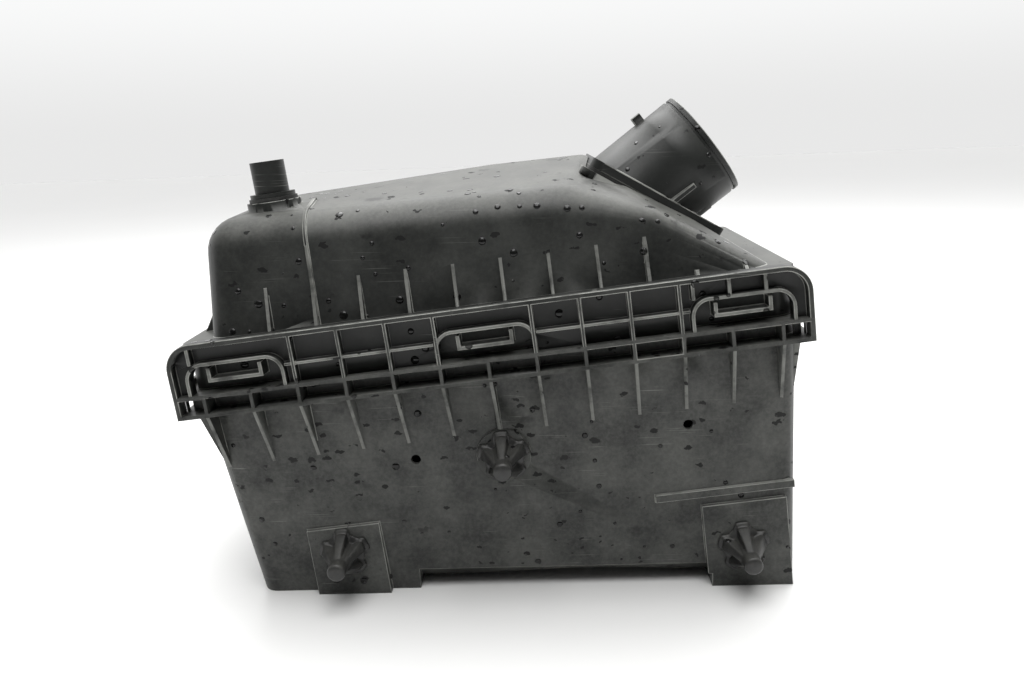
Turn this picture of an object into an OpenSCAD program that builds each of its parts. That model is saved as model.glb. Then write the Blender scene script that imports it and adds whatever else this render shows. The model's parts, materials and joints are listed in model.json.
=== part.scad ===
// Engine air filter housing: a ribbed lower case, a cover that tilts on three tongues,
// a pleated panel filter, a bolted outlet tube, a breather nipple, spring clips and pegs.
//
// Everything is drawn in the flange frame: X runs along the flange, Y runs to the back,
// Z is square to the flange, and the origin is at the lower front edge of the flange.
// placed() then tips that frame so that the base stands level on Z = 0.

/* [Flange] */
// Length of the ribbed flange along X
flange_l = 339; // [332:1:346]
// Depth of the flange from front to back
flange_d = 200; // [196:1:206]
// Height of the ribbed front wall of the flange
flange_h = 40.6; // [40:0.1:42]
// Distance between two ribs
rib_pitch = 25.5; // [25:0.1:26]
// Thickness of the ribs
rib_t = 1.8; // [1.4:0.1:2.4]
// Height of the seat plate's top above the flange's lower edge
seat_z = 12.4; // [12:0.1:13]
// Width of the three tongue windows
window_w = 50; // [46:1:52]

/* [Lower case] */
// Depth of the case below the flange, measured at its middle
case_depth = 129.5; // [120:0.5:140]
// Tilt of the flange against the base, in degrees
tilt = 5.7; // [4:0.1:7]
// Wall thickness of the case
case_wall = 2.5; // [2:0.1:3]
// Radius of the case's upright corners
case_r = 9; // [8:1:14]
// Diameter of the two clip holes in the front wall
clip_hole_d = 5.5; // [4:0.5:6]
// Outer diameter of the air inlet spigot
inlet_od = 70; // [60:1:72]
// Inner diameter of the air inlet spigot
inlet_id = 64; // [54:1:66]

/* [Cover] */
// Wall thickness of the cover
cover_wall = 2.6; // [2:0.1:3]
// Height of the crown of the cover above the flange's lower edge
crown_z = 107.5; // [104:0.5:110]
// Radius of the long shoulder along the top
shoulder_r = 20; // [16:1:22]
// Height of the triangular stiffeners on the cover
stiffener_h = 24; // [18:1:28]
// Width of the tongues that hook into the windows
tongue_w = 30; // [26:1:32]

/* [Outlet tube] */
// Outer diameter of the outlet tube
outlet_od = 66; // [62:1:68]
// Inner diameter of the outlet tube
outlet_id = 60.8; // [56:0.2:61]
// Distance from the ramp to the mouth along the tube's axis
outlet_l = 43; // [38:1:48]
// Rise of the tube's axis above the flange plane, in degrees
outlet_rise = 31; // [28:1:34]

/* [Breather nipple] */
// Outer diameter of the nipple
nipple_od = 19; // [16:0.5:20]
// Inner diameter of the nipple
nipple_id = 13; // [10:0.5:14]
// Height of the nipple's mouth above the flange's lower edge
nipple_top = 128; // [122:1:134]

/* [Filter] */
// Distance between two pleats of the paper
pleat_pitch = 6.5; // [6:0.5:8]
// Depth of the pleats
pleat_h = 44; // [36:1:48]
// Thickness of the pleated paper
paper_t = 0.6; // [0.5:0.1:0.8]

/* [Spring clips] */
// Width of each spring clip
clip_w = 15.4; // [12:0.2:15.4]
// Thickness of the clip's steel strip
clip_t = 1.5; // [1.2:0.1:1.6]
// Diameter of the clip's pivot pin
pin_d = 5; // [4:0.2:5]

/* [Mounting pegs] */
// Diameter across the fins of a peg
peg_d = 25; // [20:1:26]
// Length of a peg in front of its pad
peg_l = 27; // [22:1:30]
// Diameter of the peg's round pilot
pilot_d = 10; // [8:0.5:11]

/* [Hidden] */
$fn = 64;

eps = 0.05;
plate_t = 2;
half_l = flange_l / 2;

// Case
case_left = 161;
case_right = 163.7;
case_front = 13;
case_back = 193;
base_left = 153;
base_right = 155.7;
base_front = 20.5;
base_back = 186;
floor_t = 11;
opening_x = 144;
opening_y = [31, 178];

// Front wall of the flange
wall_back = 8.5;
web_front = 6;
corner_r = 14;
ledge_t = 2.6;
shelf_z = 22.5;
window_top = 28;
window_x = [-134, 0, 134];
window_r = 8;
rib_count = 13;
short_rib_x = [-157, 109, 127.5, 146];
wall_gusset_h = 34;
side_gusset_h = 30;

// Cover
cover_x = [-152, 158];
cover_y = [17, 190];
cover_plate = [36, 38.5];
cover_plate_half = 165;
skirt_half = 162;
skirt_y = [11.6, 196.5];
skirt_t = 2.5;
skirt_bottom = seat_z + 0.5;
tongue_z = [18.6, 26.5];
tongue_y = 1.5;
crown_y = 103;
ramp_angle = atan((106 - 40) / (158 - 67.6));
seam_x = -89;

// Outlet: where the tube's axis meets the ramp
outlet_at = [101.8, 100, 80.9];
outlet_seat = -6;
gasket_t = 2;
gasket_gap = 0.05;
plate_h = 5;
bolts = [[38, 32], [38, -32], [-26, 36], [-26, -36]];
bolt_r = 2.5;
head_r = 4.4;
head_h = 2.6;
mouth_l = 10;
mouth_id = outlet_id + 1.6;
root_l = 23;
root_od = outlet_od + 1.2;
insert_r = 3.6;
insert_l = 9;

// Breather
nipple_at = [-112, 58];
boss_top = 106;
grommet_r = 11;
stem_r = 8.6;

// Filter
rim_half = 157.5;
rim_y = [17.5, 191.5];
rim_top = cover_plate[0] - 0.3;
media_half = 143;
media_y = [32, 177];
pleat_top = 30;

// Clips
clip_x = [-100, 0, 100];
pivot = [206, 4];
hook_gap = 1.2;
hook_reach = 1.5;
arm_front = flange_d + 1.5;

// Pegs: X and Z of each peg, and Y of the pad it stands on
pegs = [[-98, -93, 15.2], [0, -46, 12.6], [126, -117, 15.2]];
spigot_r = 4;

// Inlet spigot: its place on the back wall, and the end of its thicker root
inlet_at = [85, -70];
inlet_end = 212;
inlet_root_end = 196;
inlet_mouth_l = 12;

// Middle of the whole assembly, so that the origin is under its centre
left_end = -(half_l - corner_r) * cos(tilt) - (flange_h - corner_r) * sin(tilt) - corner_r;
origin_x = (left_end + half_l * cos(tilt)) / 2;
origin_y = (inlet_end + pegs[1][2] - peg_l) / 2;

// ---------------------------------------------------------------- placing helpers

// Tips the flange frame so that the base is level and stands on Z = 0
module placed()
    translate([-origin_x, -origin_y, case_depth * cos(tilt)]) rotate([0, -tilt, 0]) children();

// A frame that lies in the base plane, lifted by the given height
module at_base(lift = 0)
    translate([0, 0, -case_depth]) rotate([0, tilt, 0]) translate([0, 0, lift]) children();

// A frame on the cover's ramp with Z square to the ramp
module on_ramp() translate(outlet_at) rotate([0, ramp_angle, 0]) children();

// A frame along the outlet tube's axis
module on_tube() translate(outlet_at) rotate([0, 90 - outlet_rise, 0]) children();

// Extrudes an outline drawn in X and Z from y0 to y1
module along_y(y0, y1) translate([0, y1, 0]) rotate([90, 0, 0]) linear_extrude(y1 - y0) children();

// Extrudes an outline drawn in Y and Z from x0 to x1
module along_x(x0, x1) translate([x0, 0, 0]) rotate([90, 0, 90]) linear_extrude(x1 - x0) children();

// A box given by its low and high corners
module box(low, high) translate(low) cube(high - low);

// A flat plate with rounded corners
module round_plate(x0, x1, y0, y1, r, h) {
    translate([x0 + r, y0, 0]) cube([x1 - x0 - 2 * r, y1 - y0, h]);
    translate([x0, y0 + r, 0]) cube([x1 - x0, y1 - y0 - 2 * r, h]);
    for (x = [x0 + r, x1 - r], y = [y0 + r, y1 - r]) translate([x, y, 0]) cylinder(r = r, h = h);
}

// The four corner posts of a rounded plate, for a hull
module corner_posts(x0, x1, y0, y1, r, h)
    for (x = [x0 + r, x1 - r], y = [y0 + r, y1 - r])
        translate([x, y, 0]) cylinder(r = r, h = h, $fn = 32);

// An outline with square feet and rounded top corners
module arch_2d(w, z0, z1, r) {
    translate([-w / 2, z0]) square([w, z1 - r - z0]);
    translate([-w / 2 + r, z0]) square([w - 2 * r, z1 - z0]);
    for (s = [-1, 1]) translate([s * (w / 2 - r), z1 - r]) circle(r);
}

// ---------------------------------------------------------------- lower case

// The drafted body of the case, shrunk by inset and lifted off the base
module case_form(inset, lift) {
    hull() {
        corner_posts(-case_left + inset, case_right - inset, case_front + inset,
                     case_back - inset, case_r - inset, eps);
        at_base(lift)
            corner_posts(-base_left + inset, base_right - inset, base_front + inset,
                         base_back - inset, case_r - inset, eps);
    }
    round_plate(-case_left + inset, case_right - inset, case_front + inset, case_back - inset,
                case_r - inset, seat_z - plate_t);
}

// The two plates that run round the case: the lower edge and the filter seat
module case_plates() {
    for (z = [0, seat_z - plate_t])
        translate([0, 0, z]) round_plate(-half_l, half_l, 0, flange_d, 10, plate_t);
    difference() {
        round_plate(-half_l, half_l, web_front, flange_d, 10, seat_z + 4);
        translate([0, 0, -1])
            round_plate(-half_l + case_wall, half_l - case_wall, web_front - 3,
                        flange_d - case_wall, 8, seat_z + 6);
        box([-half_l, flange_d - 20, seat_z], [half_l, flange_d + 1, seat_z + 6]);
    }
}

// True when a rib would cross one of the windows
function in_window(x) = len([for (c = window_x) if (abs(x - c) < window_w / 2 - 1) 1]) > 0;

// The ribbed screen along the front with its three windows
module front_wall() {
    difference() {
        along_y(0, wall_back) arch_2d(flange_l, 0, flange_h, corner_r);
        along_y(-1, web_front)
            arch_2d(flange_l - 2 * ledge_t, plate_t, flange_h - ledge_t, corner_r - ledge_t);
        along_y(web_front - 1, wall_back + 1)
            translate([-half_l + ledge_t, plate_t])
                square([flange_l - 2 * ledge_t, seat_z - 2 * plate_t]);
        for (x = window_x)
            translate([x, 0, 0]) along_y(-1, wall_back + 1)
                arch_2d(window_w, seat_z, window_top, window_r);
    }
    box([-half_l + 1, 0, seat_z - plate_t], [half_l - 1, wall_back, seat_z]);
    for (x = window_x)
        translate([x, 0, 0]) along_y(0.4, web_front) difference() {
            arch_2d(window_w + 2 * rib_t, seat_z, window_top + rib_t, window_r + rib_t);
            arch_2d(window_w, seat_z - 1, window_top, window_r);
        }
    for (s = [-1, 1], span = [[27, 107]])
        box([min(s * span[0], s * span[1]), 1, shelf_z],
            [max(s * span[0], s * span[1]), web_front + eps, shelf_z + 1.5]);
}

// The upright ribs of the front wall, and the tapering gussets that carry on below it
module wall_ribs()
    for (i = [0 : rib_count - 1]) {
        x = (i - (rib_count - 1) / 2) * rib_pitch;
        box([x - rib_t / 2, 0, 0], [x + rib_t / 2, case_front + 1, seat_z - plate_t]);
        if (!in_window(x))
            box([x - rib_t / 2, 0, seat_z - eps], [x + rib_t / 2, web_front + eps, flange_h - 1]);
        along_x(x - rib_t / 2, x + rib_t / 2)
            polygon([[0, eps], [case_front + 2, eps], [case_front + 2.2, -wall_gusset_h]]);
    }

// Short ribs above the outer windows
module short_ribs()
    for (x = short_rib_x)
        box([x - rib_t / 2, 0.5, window_top + 1], [x + rib_t / 2, web_front + eps, flange_h - 1]);

// Proud pads behind the two lower pegs, and the ridge above the right one
module case_pads() {
    for (pad = [[-118, -76, -78], [105, 152, -91]])
        intersection() {
            box([pad[0], 15.2, -160], [pad[1], 22, pad[2]]);
            at_base() box([-200, -10, 0], [200, 60, 200]);
        }
    box([80, 15.6, -86], [157, 19, -81.5]);
    translate([0, pegs[1][2], -46]) rotate([-90, 0, 0]) cylinder(d = 30, h = 5);
}

// Raised arch under the middle of the case, with a bevel along its front edge
module base_relief() {
    at_base() {
        box([-60, -1, -1], [107, 250, 4.5]);
        translate([38, -1, 0]) rotate([-90, 0, 0]) intersection() {
            translate([0, 331.5, 0]) cylinder(r = 340, h = 260, $fn = 128);
            translate([-60, -10, 0]) cube([120, 20, 260]);
        }
        translate([-60, base_front, 4.5]) rotate([45, 0, 0]) translate([0, -6, -6]) cube([167, 12, 12]);
    }
}

// Webs near the ends of the recessed band, with a slot left open at each end
module end_webs()
    for (span = [[-half_l + 5.6, -case_left + 3], [case_right - 3, half_l - 4.6]])
        box([span[0], case_front - 2, 0], [span[1], case_front, seat_z]);

// Gussets under the flange at both sides
module side_gussets()
    for (y = [20 : 40 : 180]) {
        along_y(y, y + rib_t)
            polygon([[case_right - 2, eps], [half_l - 2, eps], [case_right - 2.6, -side_gusset_h]]);
        along_y(y, y + rib_t)
            polygon([[-case_left + 2, eps], [-half_l + 2, eps], [-case_left + 3.2, -side_gusset_h]]);
    }

// Windows in the skirt's sides, behind the slots at the ends of the band
module side_windows()
    for (x = [-half_l - 1, half_l - case_wall - 0.5])
        box([x, case_front + 1, plate_t], [x + case_wall + 1.5, case_front + 26, seat_z - plate_t]);

// Round spigot on the back for the air intake hose
module inlet_spigot()
    translate([inlet_at[0], 0, inlet_at[1]]) rotate([-90, 0, 0]) {
        translate([0, 0, base_back - 2]) cylinder(d = inlet_od, h = inlet_end - base_back + 2);
        translate([0, 0, base_back - 2]) cylinder(d = inlet_od + 1.2, h = inlet_root_end - base_back + 2);
    }

module inlet_bore()
    translate([inlet_at[0], 0, inlet_at[1]]) rotate([-90, 0, 0]) {
        translate([0, 0, base_back - 15]) cylinder(d = inlet_id, h = 60);
        translate([0, 0, inlet_end - inlet_mouth_l]) cylinder(d = inlet_id + 2, h = 20);
    }

// Cheeks that carry one pivot pin
module latch_lugs(x)
    for (s = [-1, 1])
        translate([x + s * (clip_w / 2 + 0.3), 0, 0]) mirror([s < 0 ? 1 : 0, 0, 0]) difference() {
            union() {
                box([0, case_back - 3, -6], [3, pivot[0], pivot[1] + 4.8]);
                translate([0, pivot[0], pivot[1]]) rotate([0, 90, 0]) cylinder(r = 4.8, h = 3);
                box([0, case_back - 3, -6], [3, pivot[0] + 4.8, pivot[1]]);
            }
            translate([-1, pivot[0], pivot[1]]) rotate([0, 90, 0]) cylinder(d = pin_d, h = 5);
        }

// The whole moulding of the lower case
module case_body() difference() {
    union() {
        case_form(0, 0);
        case_plates();
        front_wall();
        wall_ribs();
        short_ribs();
        case_pads();
        for (x = clip_x) latch_lugs(x);
        end_webs();
        side_gussets();
        inlet_spigot();
        for (p = pegs)
            translate([p[0], p[2] + 2, p[1]]) rotate([-90, 0, 0]) cylinder(r = 9, h = 12);
    }
    difference() {
        case_form(case_wall, floor_t);
        for (p = pegs)
            translate([p[0], p[2], p[1]]) rotate([-90, 0, 0]) cylinder(r = 9, h = 12);
    }
    box([-opening_x, opening_y[0], -5], [opening_x, opening_y[1], seat_z + 1]);
    base_relief();
    inlet_bore();
    for (p = [[-49, -43], [102, -42]])
        translate([p[0], 5, p[1]]) rotate([-90, 0, 0]) cylinder(d = clip_hole_d, h = 25);
    for (p = pegs)
        translate([p[0], p[2] - 1, p[1]]) rotate([-90, 0, 0]) cylinder(r = spigot_r, h = 13);
    side_windows();
}

// Space of the upright screen, which is a node of its own
module screen_zone() box([-half_l - 1, -1, seat_z], [half_l + 1, wall_back, flange_h + 1]);

module lower_case() color([0.16, 0.17, 0.16]) placed() difference() {
    case_body();
    screen_zone();
}

module case_screen() color([0.18, 0.19, 0.18]) placed() intersection() {
    case_body();
    screen_zone();
}

// ---------------------------------------------------------------- cover

// Centre and radius of each ball that the cover's skin is stretched over
function cover_balls() = [
    for (y = [cover_y[0] + 12, cover_y[1] - 12]) [cover_x[0] + 12, y, 30, 12],
    for (y = [cover_y[0] + 10, cover_y[1] - 10]) [cover_x[1] - 10, y, 30, 10],
    for (y = [cover_y[0] + 26, cover_y[1] - 26]) [-129, y, 81, 20],
    for (y = [cover_y[0] + 24, cover_y[1] - 24]) [50, y, 75, shoulder_r],
    for (y = [cover_y[0] + 14, cover_y[1] - 14]) [93, y, 67, 10],
    [-121, crown_y, crown_z - 23, 21],
    [10, crown_y, crown_z - shoulder_r, shoulder_r],
    [64, crown_y, crown_z - 9.5, 8]
];

// The cover's skin, shrunk by inset
module cover_form(inset)
    hull() for (b = cover_balls()) translate([b[0], b[1], b[2]]) sphere(b[3] - inset, $fn = 32);

// A tongue with a U section that pokes through a window and carries the cover's tilt
module tongue(x)
    translate([x, 0, 0]) difference() {
        box([-tongue_w / 2, tongue_y, tongue_z[0]], [tongue_w / 2, skirt_y[0] + 1, tongue_z[1]]);
        box([-tongue_w / 2 + 2, tongue_y - 1, tongue_z[0] + 2],
            [tongue_w / 2 - 2, skirt_y[0] - 1, tongue_z[1] + 1]);
    }

// The flat flange, the skirt below it and the tongues
module cover_flange() {
    translate([0, 0, cover_plate[0]])
        round_plate(-cover_plate_half, cover_plate_half, skirt_y[0], flange_d, 8,
                    cover_plate[1] - cover_plate[0]);
    difference() {
        translate([0, 0, skirt_bottom])
            round_plate(-skirt_half, skirt_half, skirt_y[0], skirt_y[1], 8,
                        cover_plate[1] - skirt_bottom);
        translate([0, 0, skirt_bottom - 1])
            round_plate(-skirt_half + skirt_t, skirt_half - skirt_t, skirt_y[0] + skirt_t,
                        skirt_y[1] - skirt_t, 6, cover_plate[0] - skirt_bottom + 1);
    }
    for (x = window_x) tongue(x);
}

// Triangular stiffeners between the cover's walls and its flange
module stiffeners() {
    z = cover_plate[1] - eps;
    for (k = [0 : 10]) {
        x = (k - 4.5) * rib_pitch;
        h = k > 8 ? 4 : stiffener_h;
        along_x(x - rib_t / 2, x + rib_t / 2)
            polygon([[skirt_y[0] + 0.6, z], [cover_y[0] + 3, z], [cover_y[0] + 3, z + h]]);
    }
    for (y = [45 : 40 : 165])
        along_y(y, y + rib_t)
            polygon([[-skirt_half, z], [cover_x[0] + 3, z], [cover_x[0] + 3, z + 20]]);
}

// The raised seam that runs up the front of the cover
module seam_rib() intersection() {
    cover_form(-1.4);
    box([seam_x - rib_t / 2, 0, cover_plate[1]], [seam_x + rib_t / 2, 60, 120]);
}

// The flat seat in the ramp that the outlet tube is bolted to
module outlet_pad()
    on_ramp() translate([0, 0, outlet_seat - 4]) round_plate(-43, 50, -46, 46, 9, 4);

// The pocket above that seat
module outlet_pocket()
    on_ramp() translate([0, 0, outlet_seat]) round_plate(-40, 60, -43, 43, 8, 30);

module at_bolts() on_ramp() for (b = bolts) translate([b[0], b[1], outlet_seat]) children();

module cover() color([0.2, 0.21, 0.2]) placed() difference() {
    union() {
        intersection() {
            cover_form(0);
            box([-200, 0, cover_plate[0]], [200, 250, 150]);
        }
        cover_flange();
        stiffeners();
        seam_rib();
        outlet_pad();
        translate([nipple_at[0], nipple_at[1], 92]) cylinder(r = 15, h = boss_top - 92);
    }
    difference() {
        intersection() {
            cover_form(cover_wall);
            box([-200, 0, cover_plate[1]], [200, 250, 150]);
        }
        outlet_pad();
        at_bolts() translate([0, 0, -insert_l - 2]) cylinder(r = 6, h = insert_l + 3);
    }
    box([-opening_x, opening_y[0], 30], [opening_x, opening_y[1], 40]);
    outlet_pocket();
    on_tube() translate([0, 0, -40]) cylinder(d = outlet_id, h = 70);
    at_bolts() translate([0, 0, -insert_l - 0.5]) cylinder(r = insert_r, h = insert_l + 3);
    translate([nipple_at[0], nipple_at[1], 80]) cylinder(r = grommet_r, h = 40);
}

// ---------------------------------------------------------------- outlet

// The rounded base of the outlet tube, at the given height above the seat
module base_outline(z, h)
    on_ramp() translate([0, 0, outlet_seat + z]) round_plate(-39.5, 45.5, -42.5, 42.5, 7, h);

module outlet_tube() color([0.17, 0.18, 0.18]) placed() difference() {
    union() {
        base_outline(gasket_t, plate_h);
        difference() {
            on_tube() {
                translate([0, 0, -30]) cylinder(d = root_od, h = root_l + 30);
                cylinder(d = outlet_od, h = outlet_l);
                rotate([0, 0, 20]) translate([-1.5, -outlet_od / 2 - 2.5, -2]) cube([3, 4, root_l]);
            }
            on_ramp() translate([-90, -60, -80]) cube([180, 120, 80 + outlet_seat + gasket_t]);
        }
        on_tube() translate([-outlet_od / 2 - 5, -2.5, root_l - 6]) cube([7, 5, 6]);
    }
    on_tube() {
        translate([0, 0, -50]) cylinder(d = outlet_id, h = outlet_l + 60);
        translate([0, 0, outlet_l - mouth_l]) cylinder(d = mouth_id, h = mouth_l + 1);
        translate([0, 0, outlet_l - 5]) difference() {
            cylinder(d = outlet_od + 4, h = 2);
            translate([0, 0, -1]) cylinder(d = outlet_od - 1.6, h = 4);
        }
    }
    at_bolts() cylinder(r = bolt_r + 0.25, h = 20);
    at_bolts() translate([0, 0, gasket_t + plate_h - head_h]) cylinder(r = head_r + 0.4, h = 20);
}

module outlet_gasket() color([0.1, 0.1, 0.1]) placed() difference() {
    base_outline(gasket_gap, gasket_t - 2 * gasket_gap);
    on_tube() translate([0, 0, -50]) cylinder(d = outlet_id, h = 90);
    at_bolts() translate([0, 0, -5]) cylinder(r = bolt_r + 0.5, h = 20);
}

module outlet_screws() color([0.7, 0.7, 0.72]) placed()
    at_bolts() translate([0, 0, gasket_t + plate_h - head_h]) difference() {
        union() {
            cylinder(r = head_r, h = head_h);
            translate([0, 0, -gasket_t - plate_h + head_h - insert_l + 1])
                cylinder(r = bolt_r, h = gasket_t + plate_h - head_h + insert_l);
        }
        translate([0, 0, 1]) cylinder(r = 2.3, h = 3, $fn = 6);
    }

module outlet_inserts() color([0.75, 0.6, 0.3]) placed()
    at_bolts() translate([0, 0, -insert_l - 0.5]) difference() {
        cylinder(r = insert_r, h = insert_l);
        translate([0, 0, -1]) cylinder(r = bolt_r, h = insert_l + 2);
    }

// ---------------------------------------------------------------- breather

module breather_nipple() color([0.13, 0.14, 0.15]) placed()
    translate([nipple_at[0], nipple_at[1], 0]) difference() {
        union() {
            translate([0, 0, boss_top + 2]) cylinder(d = nipple_od, h = nipple_top - boss_top - 2);
            translate([0, 0, boss_top + 2]) cylinder(r = 12.5, h = 2.4);
            translate([0, 0, boss_top - 14]) cylinder(r = stem_r, h = 17);
        }
        translate([0, 0, 80]) cylinder(d = nipple_id, h = 80);
    }

module breather_grommet() color([0.08, 0.08, 0.08]) placed()
    translate([nipple_at[0], nipple_at[1], 0]) difference() {
        union() {
            translate([0, 0, boss_top]) cylinder(r = 13.5, h = 2);
            translate([0, 0, boss_top - 10]) cylinder(r = grommet_r, h = 11);
        }
        translate([0, 0, 80]) cylinder(r = stem_r, h = 40);
    }

// ---------------------------------------------------------------- filter

// Number of whole pleats that fit between the ends of the rim
pleats = floor(2 * media_half / pleat_pitch);
pleat_step = 2 * media_half / pleats;
paper_drop = paper_t * sqrt(1 + pow(2 * pleat_h / pleat_step, 2));

// Points of one face of the pleated paper, shifted down by drop
function pleat_line(drop) = [
    for (i = [0 : 2 * pleats])
        [-media_half + i * pleat_step / 2, pleat_top - drop - (i % 2) * (pleat_h - paper_drop)]
];

// Reverses a list of points
function reversed(list) = [for (i = [len(list) - 1 : -1 : 0]) list[i]];

module filter_media() color([0.85, 0.8, 0.62]) placed()
    along_y(media_y[0], media_y[1])
        polygon(concat(pleat_line(0), reversed(pleat_line(paper_drop))));

module filter_rim() color([0.25, 0.25, 0.24]) placed() difference() {
    translate([0, 0, seat_z])
        round_plate(-rim_half, rim_half, rim_y[0], rim_y[1], 6, rim_top - seat_z);
    box([-media_half, media_y[0], 0], [media_half, media_y[1], 60]);
}

module pleat_beads() color([0.9, 0.88, 0.75]) placed()
    for (y = [60, 104, 148]) box([-media_half, y, pleat_top], [media_half, y + 3, pleat_top + 2]);

// ---------------------------------------------------------------- spring clips

// One spring clip: an eye round its pin, an upright strip and a hook over the cover
module spring_clip(x) translate([x - clip_w / 2, 0, 0]) {
    hook_z = cover_plate[1] + hook_gap;
    difference() {
        union() {
            translate([0, pivot[0], pivot[1]]) rotate([0, 90, 0]) cylinder(r = 4.5, h = clip_w);
            box([0, arm_front, pivot[1]], [clip_w, arm_front + clip_t, hook_z + clip_t]);
        }
        translate([-1, pivot[0], pivot[1]]) rotate([0, 90, 0])
            cylinder(r = pin_d / 2 + 0.06, h = clip_w + 2);
    }
    box([0, flange_d - hook_reach, hook_z], [clip_w, arm_front + eps, hook_z + clip_t]);
    box([0, arm_front + clip_t - eps, 26], [clip_w, arm_front + clip_t + 6, 26 + clip_t]);
}

// The pin that one spring clip turns on
module pivot_pin(x) translate([x - clip_w / 2 - 3.3, pivot[0], pivot[1]]) rotate([0, 90, 0])
    cylinder(d = pin_d, h = clip_w + 6.6);

module latch_clip_left() color([0.6, 0.61, 0.62]) placed() spring_clip(clip_x[0]);
module latch_clip_centre() color([0.6, 0.61, 0.62]) placed() spring_clip(clip_x[1]);
module latch_clip_right() color([0.6, 0.61, 0.62]) placed() spring_clip(clip_x[2]);
module latch_pin_left() color([0.5, 0.5, 0.52]) placed() pivot_pin(clip_x[0]);
module latch_pin_centre() color([0.5, 0.5, 0.52]) placed() pivot_pin(clip_x[1]);
module latch_pin_right() color([0.5, 0.5, 0.52]) placed() pivot_pin(clip_x[2]);

// ---------------------------------------------------------------- mounting pegs

// A push-in peg: a spigot in the case, five tapering fins and a round pilot
module mount_peg(p) translate([p[0], p[2], p[1]]) rotate([90, 0, 0]) {
    fin_l = peg_l - 8;
    translate([0, 0, -10]) cylinder(r = spigot_r, h = 12);
    cylinder(d = peg_d - 3, h = 2.5);
    cylinder(r1 = 8, r2 = pilot_d / 2, h = fin_l);
    translate([0, 0, fin_l]) cylinder(d = pilot_d, h = 8);
    for (i = [0 : 4])
        rotate([0, 0, 90 + 72 * i]) translate([0, 2.4, 0]) rotate([90, 0, 0]) linear_extrude(4.8)
            polygon([[0, 0.5], [peg_d / 2, 0.5], [peg_d / 2, 5],
                     [pilot_d / 2 - 0.8, fin_l - 0.5], [0, fin_l - 0.5]]);
}

module mount_peg_left() color([0.12, 0.12, 0.12]) placed() mount_peg(pegs[0]);
module mount_peg_centre() color([0.12, 0.12, 0.12]) placed() mount_peg(pegs[1]);
module mount_peg_right() color([0.12, 0.12, 0.12]) placed() mount_peg(pegs[2]);

lower_case();
case_screen();
cover();
outlet_tube();
outlet_gasket();
outlet_screws();
outlet_inserts();
breather_nipple();
breather_grommet();
filter_media();
filter_rim();
pleat_beads();
latch_clip_left();
latch_clip_centre();
latch_clip_right();
latch_pin_left();
latch_pin_centre();
latch_pin_right();
mount_peg_left();
mount_peg_centre();
mount_peg_right();
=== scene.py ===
"""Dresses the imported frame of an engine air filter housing.

Every sub-assembly is a class that holds its own sizes in millimetres and builds its pieces in the
flange frame: X along the ribbed flange, Y to the back, Z square to the flange. FlangeFrame turns
those millimetres into the model's metres, from the cover's hinge joint.
"""

import json
import logging
import math
from dataclasses import dataclass
from enum import Enum
from typing import Iterable, Sequence

import bmesh
import bpy
from mathutils import Matrix, Vector
from mathutils.bvhtree import BVHTree
from mathutils.kdtree import KDTree


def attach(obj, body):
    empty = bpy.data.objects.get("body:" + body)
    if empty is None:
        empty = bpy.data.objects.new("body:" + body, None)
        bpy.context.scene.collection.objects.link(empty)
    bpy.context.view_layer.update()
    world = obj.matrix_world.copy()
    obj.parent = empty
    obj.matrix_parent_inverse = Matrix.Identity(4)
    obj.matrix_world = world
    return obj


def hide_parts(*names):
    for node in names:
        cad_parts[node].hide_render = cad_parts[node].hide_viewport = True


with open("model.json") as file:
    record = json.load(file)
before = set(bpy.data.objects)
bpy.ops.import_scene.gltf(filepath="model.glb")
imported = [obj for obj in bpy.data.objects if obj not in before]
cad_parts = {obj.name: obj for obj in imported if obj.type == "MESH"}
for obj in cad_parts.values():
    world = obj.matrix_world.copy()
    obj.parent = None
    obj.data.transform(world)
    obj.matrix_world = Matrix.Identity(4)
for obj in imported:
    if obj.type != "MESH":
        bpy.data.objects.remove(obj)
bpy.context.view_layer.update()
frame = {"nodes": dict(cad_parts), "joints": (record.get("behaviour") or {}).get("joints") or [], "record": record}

log = logging.getLogger("air_filter_housing")

MM = 0.001
# How much of a surface's roughness a drop of water takes away
WATER_GLOSS = 0.85
# Distance below which corners are one, in millimetres, and angle below which faces are flat, in degrees
WELD = 0.004
FLAT = 0.6
# Angles from which an edge is shaded sharp, in degrees, on a moulding and on a turned part
CREASE = 40.0
TURNED_CREASE = 48.0


class Body(Enum):
    """The rigid bodies of the frame."""

    CASE = "case"
    LID = "lid"
    LATCH_LEFT = "latch_left"
    LATCH_CENTRE = "latch_centre"
    LATCH_RIGHT = "latch_right"


class Slot(Enum):
    """The record's material slots."""

    CASE = "case_plastic"
    COVER = "cover_plastic"
    TUBE = "tube_plastic"
    NIPPLE = "nipple_plastic"
    RUBBER = "black_rubber"
    PEG = "peg_rubber"
    RIM = "rim_rubber"
    ZINC = "zinc_steel"
    SPRING = "spring_steel"
    PIN = "pin_steel"
    BRASS = "insert_brass"
    PAPER = "filter_paper"
    GLUE = "bead_plastic"


class Side(Enum):
    """The three places along the flange that clips and pegs share."""

    LEFT = "left"
    CENTRE = "centre"
    RIGHT = "right"


# ---------------------------------------------------------------- frame


@dataclass(frozen=True)
class FlangeFrame:
    """Where the tilted flange frame lies in the model.

    hinge_y and hinge_z are the cover's tilt axis in the flange frame, in millimetres.
    """

    hinge_y: float = 7.25
    hinge_z: float = 26.0

    @property
    def matrix(self) -> Matrix:
        """Matrix from flange millimetres to model metres."""
        joint = next(j for j in frame["joints"] if j["name"] == "lid_hinge")
        along = Vector(joint["axis"])
        turn = Matrix.Rotation(-math.atan2(along.z, along.x), 4, "Y")
        hinge = turn @ Vector((0.0, self.hinge_y * MM, self.hinge_z * MM))
        return Matrix.Translation(Vector(joint["pos_m"]) - hinge) @ turn @ Matrix.Scale(MM, 4)


# ---------------------------------------------------------------- shader nodes


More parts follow.
